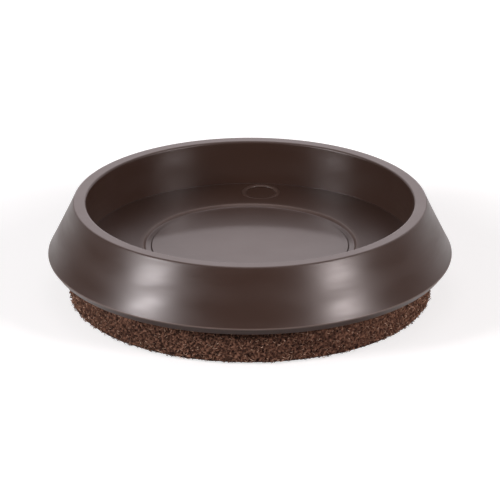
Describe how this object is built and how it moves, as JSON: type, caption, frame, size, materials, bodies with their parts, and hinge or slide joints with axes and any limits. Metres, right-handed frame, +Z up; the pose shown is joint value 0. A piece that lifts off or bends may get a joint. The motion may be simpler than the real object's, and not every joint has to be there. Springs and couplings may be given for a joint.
{
  "type": "furniture slider",
  "caption": "Round dark plastic furniture cup with a conical skirt on a thick felt disc: the recess takes a furniture foot, the felt slides on the floor.",
  "frame": {"origin": "centre of the felt's underside, on the floor", "axes": "+Z up along the cup's axis, out of the recess; X and Y are equal, because the part is round"},
  "size_m": [0.0618, 0.0618, 0.0154],
  "materials": {
    "cup_plastic": "dark brown moulded plastic with a soft gloss",
    "adhesive": "thin pale adhesive film",
    "felt": "brown needle-punched felt"
  },
  "bodies": {
    "root": {"cup": "cup_plastic", "adhesive_disc": "adhesive", "felt_pad": "felt"}
  },
  "joints": []
}
